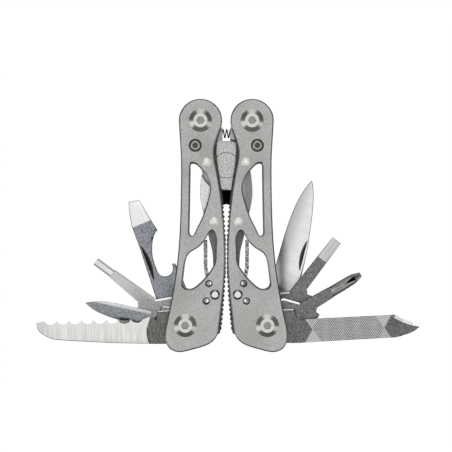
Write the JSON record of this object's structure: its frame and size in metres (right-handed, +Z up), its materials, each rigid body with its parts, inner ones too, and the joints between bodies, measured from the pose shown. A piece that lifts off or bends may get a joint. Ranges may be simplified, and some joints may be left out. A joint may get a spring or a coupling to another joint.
{
  "type": "folding plier multi-tool",
  "caption": "Folding plier multi-tool with two windowed aluminium handles shut side by side and steel blades, drivers, opener and file fanned out.",
  "frame": {"origin": "middle of the footprint of the whole tool with its tools fanned out, on the surface it lies on", "axes": "+X from the left handle to the right handle, +Y along the handles towards the jaw bolts, +Z up out of the front plates"},
  "size_m": [0.1555, 0.1015, 0.0196],
  "materials": {
    "plate_aluminium": "fine bead-blasted, satin",
    "liner_steel": "dark, stamped",
    "rivet_steel": "polished dome",
    "bolt_steel": "turned, bright",
    "dark_screw_steel": "dark, turned",
    "spring_steel": "ground spring steel",
    "coil_steel": "drawn wire",
    "jaw_steel": "investment cast, coarse blasted",
    "blade_steel": "satin ground",
    "tool_steel": "stonewashed with ground tips"
  },
  "bodies": {
    "plier_front_jaw": {"front_jaw": "jaw_steel", "plier_rivet": "jaw_steel", "jaw_spring": "coil_steel"},
    "plier_rear_jaw": {"rear_jaw": "jaw_steel"},
    "left_handle": {"left_front_plate": "plate_aluminium", "left_back_plate": "plate_aluminium", "left_front_liner": "liner_steel", "left_back_liner": "liner_steel", "left_plate_rivets": "rivet_steel", "left_spring_pin": "bolt_steel", "left_tool_spring": "spring_steel", "left_spacer_post": "spring_steel", "left_spacer_screws": "dark_screw_steel", "left_jaw_axle": "bolt_steel", "left_jaw_axle_bolts": "bolt_steel", "left_tool_axle": "bolt_steel", "left_tool_axle_bolts": "bolt_steel", "left_tool_washers": "spring_steel"},
    "right_handle": {"right_front_plate": "plate_aluminium", "right_back_plate": "plate_aluminium", "right_front_liner": "liner_steel", "right_back_liner": "liner_steel", "right_plate_rivets": "rivet_steel", "right_spring_pin": "bolt_steel", "right_tool_spring": "spring_steel", "right_spacer_post": "spring_steel", "right_spacer_screws": "dark_screw_steel", "right_jaw_axle": "bolt_steel", "right_jaw_axle_bolts": "bolt_steel", "right_tool_axle": "bolt_steel", "right_tool_axle_bolts": "bolt_steel", "right_tool_washers": "spring_steel"},
    "serrated_blade": {"serrated_blade": "blade_steel"},
    "awl": {"awl": "tool_steel"},
    "hex_driver": {"hex_driver": "tool_steel"},
    "can_opener": {"can_opener": "tool_steel"},
    "file": {"file": "tool_steel"},
    "phillips_driver": {"phillips_driver": "tool_steel"},
    "flat_driver": {"flat_driver": "tool_steel"},
    "knife": {"knife": "blade_steel"}
  },
  "joints": [
    {"name": "left_handle_fold", "type": "hinge", "parent": "plier_front_jaw", "child": "left_handle", "pos_m": [-0.01148, 0.0421, 0.0098], "axis": [0, 0, -1], "range_deg": [0, 165]},
    {"name": "plier_pivot", "type": "hinge", "parent": "plier_front_jaw", "child": "plier_rear_jaw", "pos_m": [-0.00113, 0.0242, 0.0098], "axis": [0, 0, 1], "range_deg": [0, 7], "stiffness_Nm_per_rad": 0.6, "deforming": ["jaw_spring"]},
    {"name": "right_handle_fold", "type": "hinge", "parent": "plier_rear_jaw", "child": "right_handle", "pos_m": [0.00922, 0.0421, 0.0098], "axis": [0, 0, 1], "range_deg": [0, 165]},
    {"name": "serrated_blade_fold", "type": "hinge", "parent": "left_handle", "child": "serrated_blade", "pos_m": [-0.01758, -0.0401, 0.0098], "axis": [0, 0, -1], "range_deg": [-88, 92]},
    {"name": "awl_fold", "type": "hinge", "parent": "left_handle", "child": "awl", "pos_m": [-0.01758, -0.0401, 0.0098], "axis": [0, 0, -1], "range_deg": [-100.5, 79.5]},
    {"name": "hex_driver_fold", "type": "hinge", "parent": "left_handle", "child": "hex_driver", "pos_m": [-0.01758, -0.0401, 0.0098], "axis": [0, 0, -1], "range_deg": [-124.8, 55.2]},
    {"name": "can_opener_fold", "type": "hinge", "parent": "left_handle", "child": "can_opener", "pos_m": [-0.01758, -0.0401, 0.0098], "axis": [0, 0, -1], "range_deg": [-155, 25]},
    {"name": "file_fold", "type": "hinge", "parent": "right_handle", "child": "file", "pos_m": [0.01532, -0.0401, 0.0098], "axis": [0, 0, 1], "range_deg": [-91, 89]},
    {"name": "phillips_driver_fold", "type": "hinge", "parent": "right_handle", "child": "phillips_driver", "pos_m": [0.01532, -0.0401, 0.0098], "axis": [0, 0, 1], "range_deg": [-119, 61]},
    {"name": "flat_driver_fold", "type": "hinge", "parent": "right_handle", "child": "flat_driver", "pos_m": [0.01532, -0.0401, 0.0098], "axis": [0, 0, 1], "range_deg": [-140.5, 39.5]},
    {"name": "knife_fold", "type": "hinge", "parent": "right_handle", "child": "knife", "pos_m": [0.01532, -0.0401, 0.0098], "axis": [0, 0, 1], "range_deg": [-160.5, 19.5]}
  ]
}
